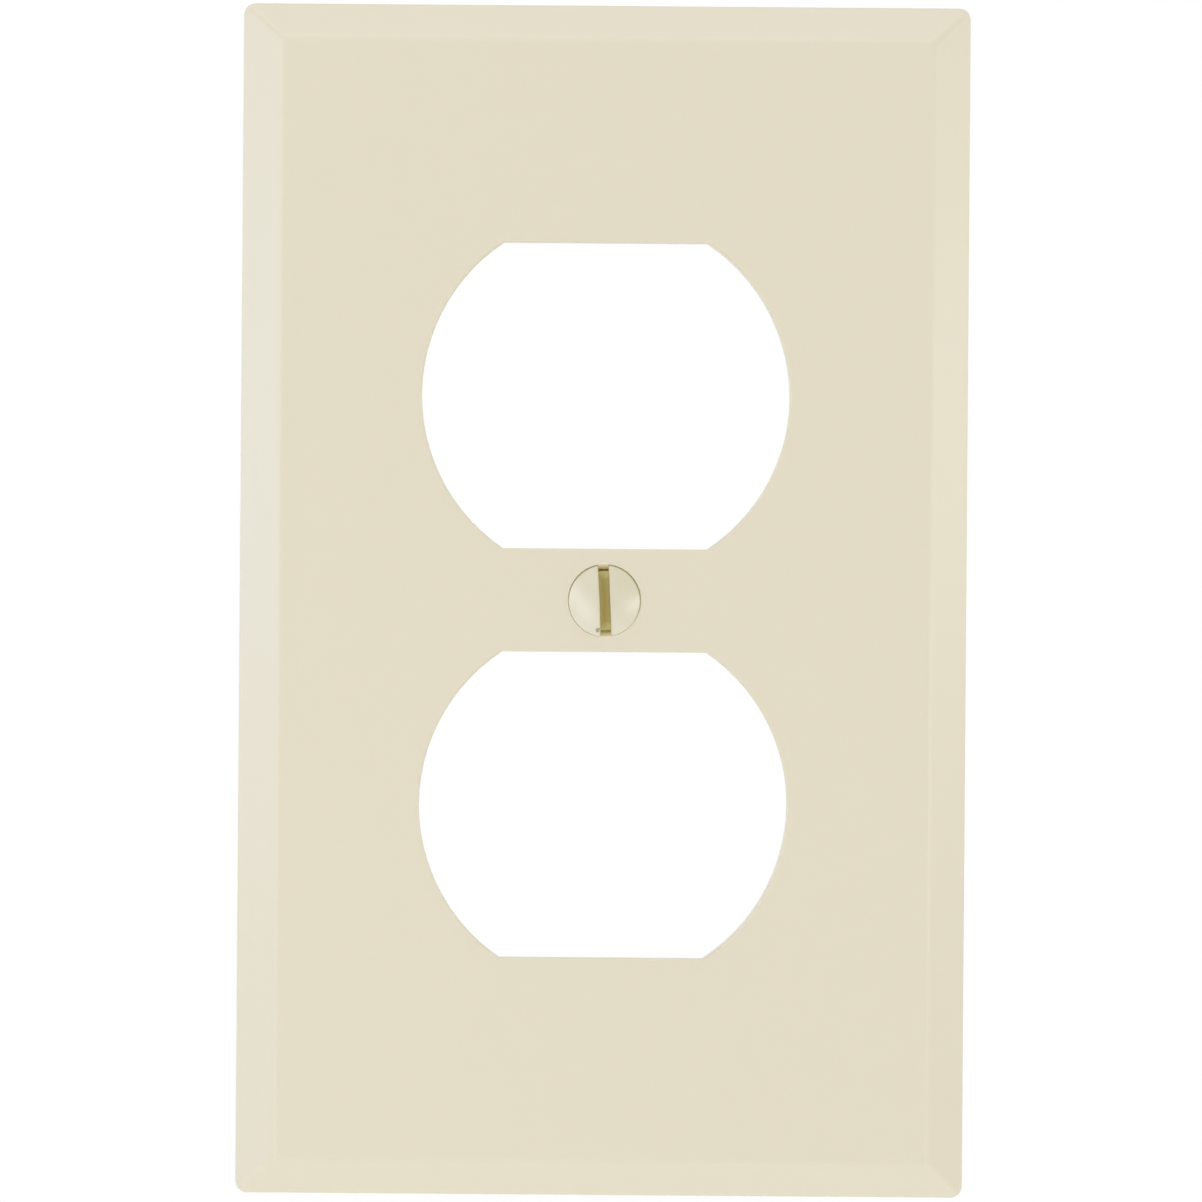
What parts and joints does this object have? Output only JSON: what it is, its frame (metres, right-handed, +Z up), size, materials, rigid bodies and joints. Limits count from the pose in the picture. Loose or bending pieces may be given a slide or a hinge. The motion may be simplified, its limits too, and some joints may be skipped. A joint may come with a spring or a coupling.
{
  "type": "duplex receptacle wall plate",
  "caption": "Flat moulded wall plate with a bevelled rim, round flat-topped openings for a duplex receptacle and a captive slotted oval-head screw.",
  "frame": {"origin": "on the screw's axis, where it meets the wall plane, which is the plane of the plate's rear rim", "axes": "+Z up along the plate's long side, +X to the right for someone facing the plate, -Y out of the wall towards that person"},
  "size_m": [0.0698, 0.0136, 0.1142],
  "materials": {
    "ivory_plastic": "smooth satin moulding, softly glossy on its crests",
    "painted_steel": "glossy ivory paint on the head, bare plated steel in the slot and on the shank",
    "red_fibre": "matt pressed fibre"
  },
  "bodies": {
    "plate": {"wall_plate": "ivory_plastic"},
    "retainer": {"screw_retainer": "red_fibre"},
    "screw": {"mounting_screw": "painted_steel"}
  },
  "joints": [
    {"name": "screw_play", "type": "slide", "parent": "plate", "child": "retainer", "axis": [0, -1, 0], "range_m": [0, 0.0014]},
    {"name": "screw_turn", "type": "hinge", "parent": "retainer", "child": "screw", "pos_m": [0, 0, 0], "axis": [0, 1, 0], "continuous": true}
  ]
}
